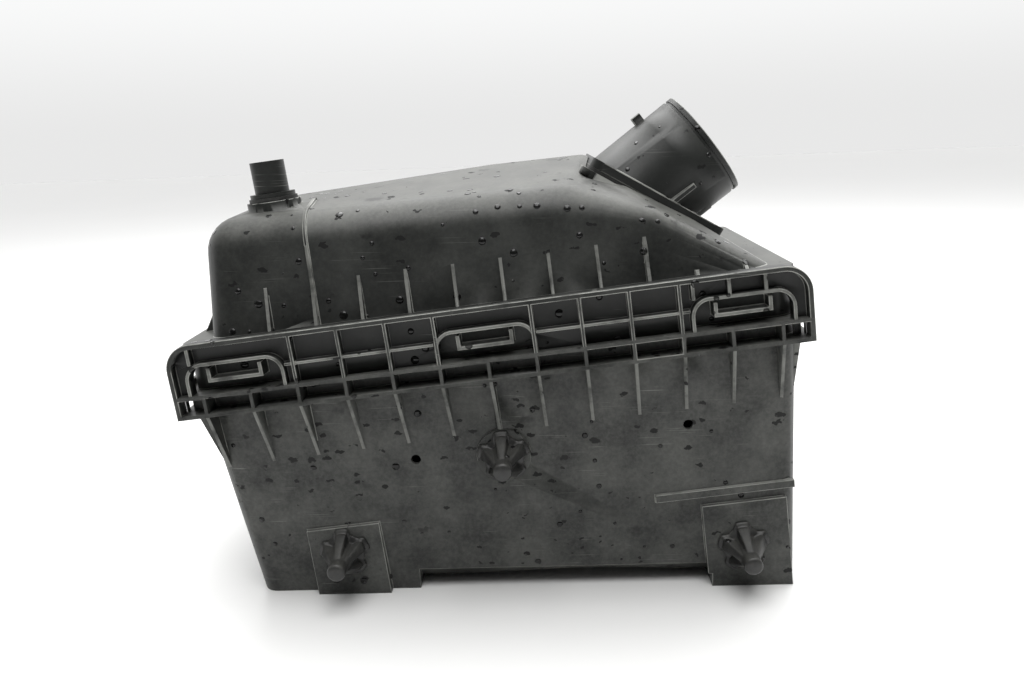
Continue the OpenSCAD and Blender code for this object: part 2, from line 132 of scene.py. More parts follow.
class Tree:
    """A thin helper over a shader node tree."""

    def __init__(self, tree: bpy.types.NodeTree) -> None:
        """Keeps the tree that nodes are added to."""
        self.tree = tree

    def node(self, kind: str, **values: object) -> bpy.types.Node:
        """Adds a node.

        Args:
            kind: Blender's node type.
            values: properties by name, or sockets by name with spaces as underscores.

        Returns:
            The new node.
        """
        made = self.tree.nodes.new(kind)
        for name, value in values.items():
            if hasattr(made, name):
                setattr(made, name, value)
        for name, value in values.items():
            if not hasattr(made, name):
                made.inputs[name.replace("_", " ")].default_value = value
        return made

    def link(self, source: bpy.types.NodeSocket, target: bpy.types.NodeSocket) -> None:
        """Links two sockets."""
        self.tree.links.new(source, target)

    def math(self, operation: str, a: object, b: object = 0.0, clamp: bool = False) -> bpy.types.NodeSocket:
        """Adds a maths node whose inputs are sockets or numbers.

        Args:
            operation: Blender's name for the operation.
            a: first value or socket.
            b: second value or socket.
            clamp: True keeps the result between 0 and 1.

        Returns:
            The result's socket.
        """
        made = self.tree.nodes.new("ShaderNodeMath")
        made.operation = operation
        made.use_clamp = clamp
        for socket, value in zip(made.inputs, (a, b)):
            if isinstance(value, bpy.types.NodeSocket):
                self.link(value, socket)
            else:
                socket.default_value = value
        return made.outputs[0]

    def ramp(self, value: bpy.types.NodeSocket, low: float, high: float) -> bpy.types.NodeSocket:
        """Turns a value smoothly from 0 at low to 1 at high."""
        made = self.node("ShaderNodeMapRange", interpolation_type="SMOOTHSTEP", clamp=True)
        self.link(value, made.inputs["Value"])
        made.inputs["From Min"].default_value = min(low, high)
        made.inputs["From Max"].default_value = max(low, high)
        made.inputs["To Min"].default_value = 0.0 if low < high else 1.0
        made.inputs["To Max"].default_value = 1.0 if low < high else 0.0
        return made.outputs["Result"]

    def mix(self, factor: object, a: object, b: object) -> bpy.types.NodeSocket:
        """Mixes two colours, each a socket or an RGBA tuple."""
        made = self.tree.nodes.new("ShaderNodeMix")
        made.data_type = "RGBA"
        for socket, value in zip((made.inputs[0], made.inputs[6], made.inputs[7]), (factor, a, b)):
            if isinstance(value, bpy.types.NodeSocket):
                self.link(value, socket)
            else:
                socket.default_value = value
        return made.outputs[2]

    def noise(self, vector: bpy.types.NodeSocket, scale: object, detail: float = 3.0,
              rough: float = 0.5) -> bpy.types.NodeSocket:
        """Adds a noise texture and gives its value socket."""
        made = self.node("ShaderNodeTexNoise", Detail=detail, Roughness=rough)
        self.link(vector, made.inputs["Vector"])
        if isinstance(scale, bpy.types.NodeSocket):
            self.link(scale, made.inputs["Scale"])
        else:
            made.inputs["Scale"].default_value = scale
        return made.outputs["Fac"]

    def group(self, group: bpy.types.NodeTree, **values: float) -> bpy.types.Node:
        """Places a node group with its own values."""
        made = self.tree.nodes.new("ShaderNodeGroup")
        made.node_tree = group
        for name, value in values.items():
            made.inputs[name.replace("_", " ")].default_value = value
        return made


def new_group(name: str, inputs: dict[str, float],
              outputs: Iterable[str]) -> tuple[Tree, bpy.types.Node, bpy.types.Node]:
    """Starts a shader node group with number sockets.

    Args:
        name: the group's name.
        inputs: each input's name and its usual value.
        outputs: the outputs' names.

    Returns:
        The helper, the group's input node and its output node.
    """
    group = bpy.data.node_groups.new(name, "ShaderNodeTree")
    for label, value in inputs.items():
        socket = group.interface.new_socket(name=label, in_out="INPUT", socket_type="NodeSocketFloat")
        socket.default_value = value
    for label in outputs:
        group.interface.new_socket(name=label, in_out="OUTPUT", socket_type="NodeSocketFloat")
    return Tree(group), group.nodes.new("NodeGroupInput"), group.nodes.new("NodeGroupOutput")


class Effects:
    """The shader groups that several finishes share."""

    def __init__(self) -> None:
        """Builds every group once."""
        self.grain = self._grain()
        self.dust = self._dust()
        self.specks = self._specks()
        self.drops = self._drops()
        self.scratches = self._scratches()
        self.wear_and_highlight = self._wear_and_highlight()
        self.recess = self._recess_shade()

    @staticmethod
    def _object(tree: Tree) -> bpy.types.NodeSocket:
        """The piece's own coordinates."""
        return tree.node("ShaderNodeTexCoord").outputs["Object"]

    def _grain(self) -> bpy.types.NodeTree:
        """Fine leather-like grain of a spark-eroded mould."""
        tree, given, out = new_group("mould_grain", {"Scale": 900.0, "Waves": 30.0}, ["Height"])
        place = self._object(tree)
        fine = tree.noise(place, given.outputs["Scale"], detail=4.0, rough=0.6)
        broad = tree.noise(place, given.outputs["Waves"], detail=2.0)
        tree.link(tree.math("ADD", tree.math("MULTIPLY", fine, 0.35), tree.math("MULTIPLY", broad, 0.65)),
                  out.inputs["Height"])
        return tree.tree

    def _dust(self) -> bpy.types.NodeTree:
        """Dust that settles on upward faces, in soft patches."""
        tree, given, out = new_group("settled_dust", {"Top": 0.8, "Sides": 0.25, "Scale": 35.0}, ["Mask"])
        coordinates = tree.node("ShaderNodeTexCoord")
        parts = tree.node("ShaderNodeSeparateXYZ")
        tree.link(coordinates.outputs["Normal"], parts.inputs[0])
        up = tree.ramp(parts.outputs["Z"], 0.12, 0.9)
        place = coordinates.outputs["Object"]
        cloud = tree.ramp(tree.noise(place, given.outputs["Scale"], 6.0, 0.62), 0.3, 0.72)
        fine = tree.ramp(tree.noise(place, 420.0, 3.0, 0.7), 0.3, 0.75)
        patch = tree.math("ADD", tree.math("MULTIPLY", cloud, 0.65), tree.math("MULTIPLY", fine, 0.35))
        top = tree.math("MULTIPLY", tree.math("MULTIPLY", up, given.outputs["Top"]),
                        tree.math("ADD", 0.45, tree.math("MULTIPLY", patch, 0.55)))
        side = tree.math("MULTIPLY", patch, given.outputs["Sides"])
        tree.link(tree.math("ADD", top, side, clamp=True), out.inputs["Mask"])
        return tree.tree

    def _specks(self) -> bpy.types.NodeTree:
        """Dark ragged specks of oily dirt in loose clusters, flattened in height."""
        tree, given, out = new_group(
            "oily_specks", {"Scale": 150.0, "Share": 0.25, "Softness": 0.07, "Spread": 0.5}, ["Mask"])
        place = self._object(tree)
        flat = tree.node("ShaderNodeMapping")
        flat.inputs["Scale"].default_value = (0.8, 1.0, 1.45)
        tree.link(place, flat.inputs["Vector"])
        wobble = tree.node("ShaderNodeTexNoise", Scale=330.0, Detail=3.0)
        tree.link(place, wobble.inputs["Vector"])
        shift = tree.node("ShaderNodeVectorMath", operation="SCALE", Scale=0.006)
        tree.link(wobble.outputs["Color"], shift.inputs[0])
        moved = tree.node("ShaderNodeVectorMath", operation="ADD")
        tree.link(flat.outputs[0], moved.inputs[0])
        tree.link(shift.outputs[0], moved.inputs[1])
        cells = tree.node("ShaderNodeTexVoronoi")
        tree.link(moved.outputs[0], cells.inputs["Vector"])
        tree.link(given.outputs["Scale"], cells.inputs["Scale"])
        chance = tree.node("ShaderNodeSeparateColor")
        tree.link(cells.outputs["Color"], chance.inputs[0])
        cluster = tree.ramp(tree.noise(place, 16.0, 3.0, 0.6), 0.38, 0.66)
        lone = tree.math("SUBTRACT", 1.0, given.outputs["Spread"])
        local = tree.math("ADD", tree.math("MULTIPLY", cluster, given.outputs["Share"]),
                          tree.math("MULTIPLY", given.outputs["Share"], lone))
        chosen = tree.math("LESS_THAN", chance.outputs["Red"], local)
        radius = tree.math("ADD", 0.1, tree.math("MULTIPLY", chance.outputs["Green"], 0.27))
        within = tree.math("SUBTRACT", radius, cells.outputs["Distance"])
        depth = tree.math("DIVIDE", within, given.outputs["Softness"])
        inside = tree.ramp(depth, 0.0, 1.0)
        tree.link(tree.math("MULTIPLY", inside, chosen), out.inputs["Mask"])
        return tree.tree

    def _drops(self) -> bpy.types.NodeTree:
        """Round drops of water: where they lie and how high they stand."""
        tree, given, out = new_group("water_drops", {"Scale": 130.0, "Share": 0.1}, ["Mask", "Height"])
        cells = tree.node("ShaderNodeTexVoronoi")
        tree.link(self._object(tree), cells.inputs["Vector"])
        tree.link(given.outputs["Scale"], cells.inputs["Scale"])
        chance = tree.node("ShaderNodeSeparateColor")
        tree.link(cells.outputs["Color"], chance.inputs[0])
        chosen = tree.math("LESS_THAN", chance.outputs["Blue"], given.outputs["Share"])
        radius = tree.math("ADD", 0.12, tree.math("MULTIPLY", chance.outputs["Red"], 0.2))
        part = tree.math("DIVIDE", cells.outputs["Distance"], radius)
        dome = tree.math("SQRT", tree.math("SUBTRACT", 1.0, tree.math("MULTIPLY", part, part), clamp=True))
        tree.link(tree.math("MULTIPLY", tree.ramp(part, 1.0, 0.88), chosen), out.inputs["Mask"])
        tree.link(tree.math("MULTIPLY", dome, chosen), out.inputs["Height"])
        return tree.tree

    def _scratches(self) -> bpy.types.NodeTree:
        """Thin handling scratches in two directions."""
        tree, given, out = new_group("handling_scratches", {"Amount": 0.5}, ["Mask"])
        place = self._object(tree)
        total: bpy.types.NodeSocket | None = None
        for turn, scale in ((0.5, (30.0, 30.0, 1300.0)), (-0.9, (26.0, 26.0, 1500.0))):
            mapping = tree.node("ShaderNodeMapping")
            mapping.inputs["Rotation"].default_value = (0.2, turn, 0.4)
            mapping.inputs["Scale"].default_value = scale
            tree.link(place, mapping.inputs["Vector"])
            lines = tree.ramp(tree.noise(mapping.outputs[0], 1.0, 1.0), 0.7, 0.76)
            total = lines if total is None else tree.math("MAXIMUM", total, lines)
        broken = tree.ramp(tree.noise(place, 28.0, 2.0), 0.5, 0.62)
        scored = tree.math("MULTIPLY", total, broken)
        tree.link(tree.math("MULTIPLY", scored, given.outputs["Amount"]), out.inputs["Mask"])
        return tree.tree

    @staticmethod
    def _wear_and_highlight() -> bpy.types.NodeTree:
        """Pale rubbing and a painted highlight along the softened edges, broken up by noise."""
        tree, given, out = new_group("edge_wear_and_highlight", {"Amount": 0.6}, ["Mask"])
        edge = tree.node("ShaderNodeAttribute", attribute_name="edge")
        place = tree.node("ShaderNodeTexCoord").outputs["Object"]
        broken = tree.ramp(tree.noise(place, 60.0, 4.0, 0.65), 0.25, 0.6)
        tree.link(tree.math("MULTIPLY", tree.math("MULTIPLY", edge.outputs["Fac"], broken),
                            given.outputs["Amount"]), out.inputs["Mask"])
        return tree.tree


    def _recess_shade(self) -> bpy.types.NodeTree:
        """Painted shade deep in the ribbed screen, between two depths along Y, broken up by noise."""
        tree, given, out = new_group(
            "recess_painted_shade", {"Front": -0.0975, "Back": -0.0935, "Amount": 0.8}, ["Mask"])
        parts = tree.node("ShaderNodeSeparateXYZ")
        tree.link(self._object(tree), parts.inputs[0])
        depth = tree.node("ShaderNodeMapRange", interpolation_type="SMOOTHSTEP", clamp=True)
        tree.link(parts.outputs["Y"], depth.inputs["Value"])
        tree.link(given.outputs["Front"], depth.inputs["From Min"])
        tree.link(given.outputs["Back"], depth.inputs["From Max"])
        cloud = tree.ramp(tree.noise(self._object(tree), 70.0, 4.0, 0.6), 0.25, 0.6)
        patchy = tree.math("ADD", 0.55, tree.math("MULTIPLY", cloud, 0.45))
        tree.link(tree.math("MULTIPLY", tree.math("MULTIPLY", depth.outputs["Result"], patchy),
                            given.outputs["Amount"]), out.inputs["Mask"])
        return tree.tree


# ---------------------------------------------------------------- finishes


Colour = tuple[float, float, float, float]


def rgba(red: float, green: float, blue: float) -> Colour:
    """An opaque colour."""
    return (red, green, blue, 1.0)


@dataclass(frozen=True)
class MouldedPlastic:
    """Grained black plastic with dust, dirt, wet patches, drops, rubbed edges with a painted highlight
    and painted shade in the screen's deep cells.

    specks, patches and drops are shares of the cells that hold one. recess is how much painted shade
    darkens the deep cells of the screen. Each cover is how much of the plastic's colour the dirt, the
    water or the painted shade hides, and shine is the strength of its reflections. Depths are in metres.
    """

    name: str
    base: Colour = rgba(0.0125, 0.0135, 0.0128)
    dusty: Colour = rgba(0.15, 0.152, 0.14)
    # Pale colour of rubbed edges and scratches; on the edges it is also a painted highlight
    rubbed_and_highlight: Colour = rgba(0.34, 0.345, 0.32)
    # Near-black of dirt and water, and of the painted shade in the screen's deep cells
    dirt_and_shade: Colour = rgba(0.003, 0.003, 0.003)
    roughness: float = 0.35
    dust_top: float = 0.4
    dust_sides: float = 0.2
    specks: float = 0.2
    patches: float = 0.12
    drops: float = 0.1
    # How strong the edges' pale rubbing and painted highlight are
    wear_and_highlight: float = 0.75
    scratches: float = 0.3
    # How much painted shade the screen's deep cells get
    recess: float = 0.0
    patch_scale: float = 62.0
    speck_cover: float = 0.96
    patch_cover: float = 0.6
    recess_cover: float = 0.7
    drop_cover: float = 0.85
    dust_dulling: float = 0.16
    shine: float = 0.32
    grain_depth: float = 0.0001
    drop_depth: float = 0.0013

    def build(self, effects: Effects) -> bpy.types.Material:
        """Makes the material.

        Args:
            effects: the shared shader groups.

        Returns:
            The finished material.
        """
        material, tree, shader = new_material(self.name)
        shader.inputs["Specular IOR Level"].default_value = self.shine
        place = tree.node("ShaderNodeTexCoord").outputs["Object"]
        dust = tree.group(effects.dust, Top=self.dust_top, Sides=self.dust_sides).outputs["Mask"]
        specks = tree.group(effects.specks, Share=self.specks, Spread=0.78).outputs["Mask"]
        patches = tree.group(effects.specks, Share=self.patches, Scale=self.patch_scale,
                             Softness=0.16, Spread=0.7).outputs["Mask"]
        drops = tree.group(effects.drops, Share=self.drops)
        wear_and_highlight = tree.group(effects.wear_and_highlight, Amount=self.wear_and_highlight).outputs["Mask"]
        scratches = tree.group(effects.scratches, Amount=self.scratches).outputs["Mask"]
        mottle = tree.ramp(tree.noise(place, 18.0, 5.0, 0.6), 0.3, 0.7)
        colour = tree.mix(mottle, self.base, rgba(*(1.6 * c for c in self.base[:3])))
        # Painted shade deep in the screen's cells, which also takes the dust away there
        recess = tree.group(effects.recess, Amount=self.recess).outputs["Mask"]
        dust = tree.math("MULTIPLY", dust, tree.math("SUBTRACT", 1.0, recess))
        colour = tree.mix(dust, colour, self.dusty)
        # Pale rubbing and a painted highlight along the edges, and scratches
        colour = tree.mix(tree.math("MAXIMUM", wear_and_highlight, scratches), colour, self.rubbed_and_highlight)
        # Dirt, wet patches, drops and the painted shade of the deep cells all darken the colour
        wet = tree.math("MAXIMUM", tree.math("MULTIPLY", specks, self.speck_cover),
                        tree.math("MULTIPLY", patches, self.patch_cover))
        wet = tree.math("MAXIMUM", wet, tree.math("MULTIPLY", recess, self.recess_cover))
        wet = tree.math("MAXIMUM", wet, tree.math("MULTIPLY", drops.outputs["Mask"], self.drop_cover))
        tree.link(tree.mix(wet, colour, self.dirt_and_shade), shader.inputs["Base Color"])
        rough = tree.math("ADD", self.roughness, tree.math("MULTIPLY", dust, self.dust_dulling))
        rough = tree.math("ADD", rough, tree.math("MULTIPLY", mottle, 0.05))
        rough = tree.math("ADD", rough, tree.math("MULTIPLY", specks, 0.2))
        dry = tree.math("SUBTRACT", 1.0, tree.math("MULTIPLY", drops.outputs["Mask"], WATER_GLOSS))
        tree.link(tree.math("MULTIPLY", rough, dry, clamp=True), shader.inputs["Roughness"])
        grain = tree.group(effects.grain).outputs["Height"]
        first = tree.node("ShaderNodeBump", Distance=self.grain_depth, Strength=0.8)
        tree.link(grain, first.inputs["Height"])
        second = tree.node("ShaderNodeBump", Distance=self.drop_depth)
        tree.link(drops.outputs["Height"], second.inputs["Height"])
        tree.link(first.outputs["Normal"], second.inputs["Normal"])
        tree.link(second.outputs["Normal"], shader.inputs["Normal"])
        return material


@dataclass(frozen=True)
class Rubber:
    """Matt black rubber with a bloom of dust."""

    name: str
    base: Colour = rgba(0.012, 0.012, 0.012)
    dusty: Colour = rgba(0.11, 0.11, 0.1)
    roughness: float = 0.5
    dust_sides: float = 0.25
    drops: float = 0.0

    def build(self, effects: Effects) -> bpy.types.Material:
        """Makes the material.

        Args:
            effects: the shared shader groups.

        Returns:
            The finished material.
        """
        material, tree, shader = new_material(self.name)
        dust = tree.group(effects.dust, Top=0.35, Sides=self.dust_sides, Scale=90.0).outputs["Mask"]
        drops = tree.group(effects.drops, Share=self.drops, Scale=170.0)
        colour = tree.mix(dust, self.base, self.dusty)
        tree.link(tree.mix(drops.outputs["Mask"], colour, self.base), shader.inputs["Base Color"])
        rough = tree.math("ADD", self.roughness, tree.math("MULTIPLY", dust, 0.3))
        dry = tree.math("SUBTRACT", 1.0, tree.math("MULTIPLY", drops.outputs["Mask"], WATER_GLOSS))
        tree.link(tree.math("MULTIPLY", rough, dry), shader.inputs["Roughness"])
        bump = tree.node("ShaderNodeBump", Distance=0.0002, Strength=0.7)
        grain = tree.group(effects.grain, Scale=1400.0, Waves=120.0).outputs["Height"]
        tree.link(grain, bump.inputs["Height"])
        wet = tree.node("ShaderNodeBump", Distance=0.001)
        tree.link(drops.outputs["Height"], wet.inputs["Height"])
        tree.link(bump.outputs["Normal"], wet.inputs["Normal"])
        tree.link(wet.outputs["Normal"], shader.inputs["Normal"])
        return material


@dataclass(frozen=True)
class Metal:
    """Rolled or plated metal with fine lines and dull spots."""

    name: str
    bright: Colour = rgba(0.6, 0.6, 0.58)
    dull: Colour = rgba(0.28, 0.27, 0.25)
    roughness: float = 0.3

    def build(self, effects: Effects) -> bpy.types.Material:
        """Makes the material.

        Args:
            effects: the shared shader groups, not used.

        Returns:
            The finished material.
        """
        material, tree, shader = new_material(self.name)
        shader.inputs["Metallic"].default_value = 1.0
        place = tree.node("ShaderNodeTexCoord").outputs["Object"]
        mapping = tree.node("ShaderNodeMapping")
        mapping.inputs["Scale"].default_value = (2600.0, 140.0, 140.0)
        tree.link(place, mapping.inputs["Vector"])
        lines = tree.noise(mapping.outputs[0], 1.0, 2.0)
        spots = tree.ramp(tree.noise(place, 210.0, 4.0, 0.65), 0.45, 0.75)
        tree.link(tree.mix(spots, self.bright, self.dull), shader.inputs["Base Color"])
        rough = tree.math("ADD", self.roughness, tree.math("MULTIPLY", lines, 0.14))
        tree.link(tree.math("ADD", rough, tree.math("MULTIPLY", spots, 0.25)), shader.inputs["Roughness"])
        bump = tree.node("ShaderNodeBump", Distance=0.00004, Strength=0.6)
        tree.link(lines, bump.inputs["Height"])
        tree.link(bump.outputs["Normal"], shader.inputs["Normal"])
        return material


@dataclass(frozen=True)
class FilterPaper:
    """Cream resin-coated paper, greyed by the dust it has caught."""

    name: str
    clean: Colour = rgba(0.66, 0.56, 0.34)
    greyed: Colour = rgba(0.28, 0.25, 0.19)

    def build(self, effects: Effects) -> bpy.types.Material:
        """Makes the material.

        Args:
            effects: the shared shader groups, not used.

        Returns:
            The finished material.
        """
        material, tree, shader = new_material(self.name)
        shader.inputs["Roughness"].default_value = 0.85
        place = tree.node("ShaderNodeTexCoord").outputs["Object"]
        stain = tree.ramp(tree.noise(place, 22.0, 5.0, 0.6), 0.35, 0.75)
        fibres = tree.noise(place, 1500.0, 4.0, 0.75)
        colour = tree.mix(stain, self.clean, self.greyed)
        pale = tree.mix(tree.ramp(fibres, 0.45, 0.7), colour, rgba(0.74, 0.66, 0.46))
        tree.link(tree.mix(0.35, colour, pale), shader.inputs["Base Color"])
        bump = tree.node("ShaderNodeBump", Distance=0.0001)
        tree.link(fibres, bump.inputs["Height"])
        tree.link(bump.outputs["Normal"], shader.inputs["Normal"])
        return material


def new_material(name: str) -> tuple[bpy.types.Material, Tree, bpy.types.Node]:
    """Starts a node material.

    Args:
        name: the material's name.

    Returns:
        The material, its tree's helper and its Principled shader.
    """
    material = bpy.data.materials.new(name)
    material.use_nodes = True
    return material, Tree(material.node_tree), material.node_tree.nodes["Principled BSDF"]


Finishes = dict[Slot, bpy.types.Material]


# ---------------------------------------------------------------- meshes


def add_object(name: str, mesh: bpy.types.Mesh, material: bpy.types.Material) -> bpy.types.Object:
    """Links a mesh as a piece at the origin and dresses it."""
    piece = bpy.data.objects.new(name, mesh)
    bpy.context.scene.collection.objects.link(piece)
    mesh.materials.clear()
    mesh.materials.append(material)
    return piece


@dataclass(frozen=True)
class EdgeRounding:
    """Rounds a moulding's sharp edges by geometry, wherever there is room for it.

    Lengths are in millimetres and angles in degrees. tightest is the smallest angle between two
    edges of one face that still leaves a clean corner. seam is the height in the flange frame at
    which the moulding runs on in another piece, so that no edge there is rounded. A face narrower
    than rib_width gets rib_wear_and_highlight of an edge's pale rubbing and painted highlight.
    """

    width: float = 0.4
    sharp: float = 32.0
    segments: int = 2
    tightest: float = 26.0
    attempts: int = 8
    seam: float | None = None
    rib_width: float = 1.95
    rib_wear_and_highlight: float = 0.5
    rib_corner: float = 55.0

    def _rib_front(self, face: bmesh.types.BMFace) -> bool:
        """True for the long narrow front of a rib, which gets pale rubbing and a painted highlight as an edge
        does.
        """
        sides = [edge for edge in face.edges if edge.calc_length() > 3.0 * self.rib_width * MM]
        return (2.0 * face.calc_area() < self.rib_width * MM * face.calc_perimeter() and len(sides) > 1
                and all(edge.calc_face_angle(0.0) > math.radians(self.rib_corner) for edge in sides))

    def _narrow(self, face: bmesh.types.BMFace) -> bool:
        """True when a face is too narrow to lose a strip on both sides."""
        return 2.0 * face.calc_area() < 2.2 * self.width * MM * face.calc_perimeter()

    def _cramped(self, edge: bmesh.types.BMEdge) -> bool:
        """True when an edge is short, borders a narrow face or ends in a pointed corner."""
        if edge.calc_length() < 2.5 * self.width * MM or any(map(self._narrow, edge.link_faces)):
            return True
        least = math.radians(self.tightest)
        corners = (corner for loop in edge.link_loops for corner in (loop, loop.link_loop_next))
        return any(corner.calc_angle() < least for corner in corners)

    def _seam_corners(self, form: bmesh.types.BMesh) -> set[int]:
        """The corners that lie in the seam's plane."""
        if self.seam is None:
            return set()
        back = FlangeFrame().matrix.inverted()
        return {v.index for v in form.verts if abs((back @ v.co).z - self.seam) < 0.05}

    def apply(self, form: bmesh.types.BMesh) -> bmesh.types.BMesh:
        """Rounds the edges and marks the new faces in the layer "edge".

        Args:
            form: a merged shell. It is left as it is.

        Returns:
            The rounded shell.
        """
        surface = BVHTree.FromBMesh(form)
        corners = KDTree(len(form.verts))
        for index, vert in enumerate(form.verts):
            corners.insert(vert.co, index)
        corners.balance()
        banned: set[int] = set()
        seam = self._seam_corners(form)
        trial = form
        for attempt in range(self.attempts):
            trial = form.copy()
            trial.verts.ensure_lookup_table()
            layer = trial.faces.layers.float.new("edge")
            # The layer marks where edges and rib fronts get pale rubbing and a painted highlight
            for face in trial.faces:
                face[layer] = self.rib_wear_and_highlight if self._rib_front(face) else 0.0
            chosen = [e for e in trial.edges
                      if e.is_manifold and e.calc_face_angle(0.0) > math.radians(self.sharp)
                      and not self._cramped(e) and not {v.index for v in e.verts} & banned
                      and not {v.index for v in e.verts} <= seam]
            made = bmesh.ops.bevel(trial, geom=chosen, offset=self.width * MM, segments=self.segments,
                                   profile=0.6, affect="EDGES", clamp_overlap=False)
            for face in made["faces"]:
                face[layer] = 1.0
            stray = [v.co for v in trial.verts
                     if surface.find_nearest(v.co)[3] > 0.5 * self.width * MM]
            if not stray:
                break
            for point in stray:
                banned |= {index for _, index, _ in corners.find_n(point, 4 + 2 * attempt)}
        log.info("rounded %d edges, %d corners left sharp", len(chosen), len(banned))
        return trial


def softened_copy(nodes: Sequence[str], name: str, rounding: EdgeRounding,
                  material: bpy.types.Material) -> bpy.types.Object:
    """Copies the mesh of one or more CAD nodes and rounds its sharp edges.

    Args:
        nodes: the CAD nodes to copy.
        name: the new piece's name.
        rounding: how the edges are rounded.
        material: the piece's finish.

    Returns:
        The new piece.
    """
    form = bmesh.new()
    for node in nodes:
        form.from_mesh(frame["nodes"][node].data)
    bmesh.ops.remove_doubles(form, verts=form.verts, dist=WELD * MM)
    bmesh.ops.dissolve_degenerate(form, edges=form.edges, dist=WELD * MM)
    bmesh.ops.dissolve_limit(form, angle_limit=math.radians(FLAT), verts=form.verts, edges=form.edges)
    form.normal_update()
    form.verts.index_update()
    rounded = rounding.apply(form)
    for face in rounded.faces:
        face.smooth = True
    mesh = bpy.data.meshes.new(name)
    rounded.to_mesh(mesh)
    rounded.free()
    form.free()
    mesh.set_sharp_from_angle(angle=math.radians(CREASE))
    return add_object(name, mesh, material)


def dress(node: str, material: bpy.types.Material) -> None:
    """Gives a CAD node its finish."""
    piece = frame["nodes"][node]
    piece.data.materials.clear()
    piece.data.materials.append(material)


# ---------------------------------------------------------------- sub-assemblies


def place(piece: bpy.types.Object, body: Body, slot: Slot, nodes: Sequence[str]) -> bpy.types.Object:
    """Ties a piece to its body and hides the CAD nodes that it stands for."""
    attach(piece, body.value)
    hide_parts(*nodes)
    return piece


@dataclass
class Mouldings:
    """The plastic mouldings, as softened copies of their CAD nodes.

    The edges are widths of rounding, and screen_seam is the height at which the screen stands on
    the case, all in millimetres.
    """

    case_edge: float = 0.4
    cover_edge: float = 0.4
    tube_edge: float = 0.5
    nipple_edge: float = 0.5
    screen_seam: float = 12.4

    def build(self, finishes: Finishes, screen: bpy.types.Material) -> list[bpy.types.Object]:
        """Builds the case, its ribbed screen, the cover, the outlet tube and the nipple.

        Args:
            finishes: the material of each slot.
            screen: the case's plastic with painted shade between the screen's ribs.

        Returns:
            The pieces.
        """
        plan = (
            ("lower_case", EdgeRounding(self.case_edge), finishes[Slot.CASE], Slot.CASE, Body.CASE),
            ("case_screen", EdgeRounding(self.case_edge, seam=self.screen_seam), screen,
             Slot.CASE, Body.CASE),
            ("cover", EdgeRounding(self.cover_edge), finishes[Slot.COVER], Slot.COVER, Body.LID),
            ("outlet_tube", EdgeRounding(self.tube_edge), finishes[Slot.TUBE], Slot.TUBE, Body.LID),
            ("breather_nipple", EdgeRounding(self.nipple_edge), finishes[Slot.NIPPLE],
             Slot.NIPPLE, Body.LID),
        )
        return [place(softened_copy([node], node + "_shell", rounding, material), body, slot, [node])
                for node, rounding, material, slot, body in plan]


@dataclass
class SpringClips:
    """The bent steel strips behind the flange, one to a body. The rounding is in millimetres."""

    edge: float = 0.25

    def build(self, finishes: Finishes) -> list[bpy.types.Object]:
        """Builds the three clips.

        Args:
            finishes: the material of each slot.

        Returns:
            The pieces.
        """
        rounding = EdgeRounding(self.edge, segments=1)
        made = []
        for side in Side:
            node = f"latch_clip_{side.value}"
            piece = softened_copy([node], f"spring_clip_{side.value}", rounding, finishes[Slot.SPRING])
            made.append(place(piece, Body[f"LATCH_{side.name}"], Slot.SPRING, [node]))
        return made


